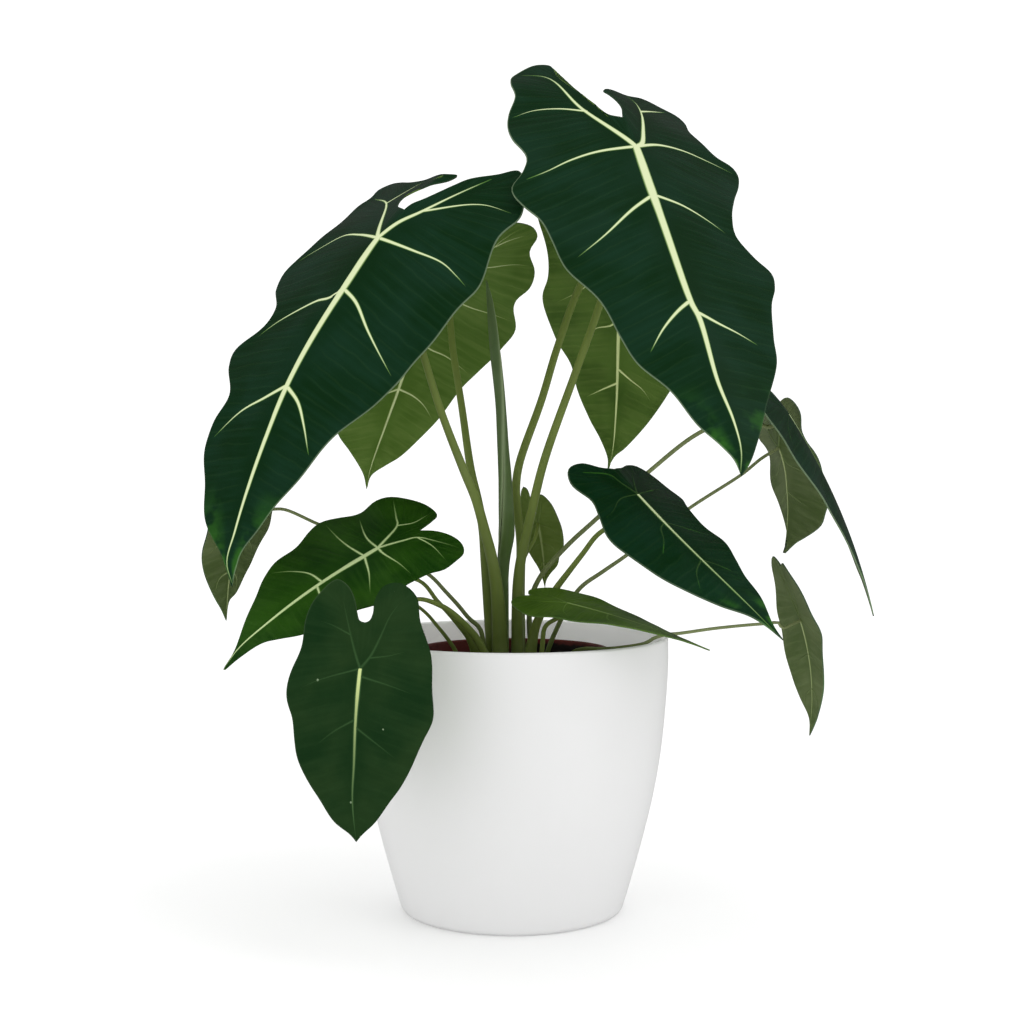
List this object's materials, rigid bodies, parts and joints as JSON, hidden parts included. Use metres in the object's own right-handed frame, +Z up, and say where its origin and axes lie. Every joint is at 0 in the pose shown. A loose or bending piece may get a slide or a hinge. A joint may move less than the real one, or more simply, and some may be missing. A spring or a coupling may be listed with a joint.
{
  "type": "potted aroid house plant",
  "caption": "Alocasia frydek in a tapered white pot: dark arrow-shaped blades with pale veins on long arching petioles, and a new leaf still rolled.",
  "frame": {"origin": "middle of the outer pot's underside, on the surface that it stands on", "axes": "+Z up, -Y to the front of the plant"},
  "size_m": [0.4, 0.3351, 0.5173],
  "materials": {
    "pot": "matte white, smooth",
    "liner": "moulded brown-red plastic",
    "soil": "dark, damp, crumbly",
    "blade": "velvety dark green above with pale veins, olive below",
    "petiole": "smooth olive green stem",
    "new_leaf": "smooth blue-green"
  },
  "bodies": {
    "root": {"outer_pot": "pot", "nursery_pot": "liner", "soil": "soil", "new_leaf": "new_leaf", "blade_left_high": "blade", "blade_right_high": "blade", "blade_back_left": "blade", "blade_back_right": "blade", "blade_left_mid": "blade", "blade_front_hanging": "blade", "blade_left_small": "blade", "blade_centre_small": "blade", "blade_front_low": "blade", "blade_right_mid": "blade", "blade_right_far": "blade", "blade_right_back": "blade", "blade_right_low": "blade", "blade_left_hidden": "blade", "petioles_left_pair": "petiole", "petiole_right_high": "petiole", "petiole_back_right": "petiole", "petiole_left_mid": "petiole", "petiole_front_hanging": "petiole", "petiole_left_small": "petiole", "petiole_centre_small": "petiole", "petiole_front_low": "petiole", "petiole_right_mid": "petiole", "petiole_right_far": "petiole", "petiole_right_back": "petiole", "petiole_right_low": "petiole", "petiole_left_hidden": "petiole"}
  },
  "joints": []
}
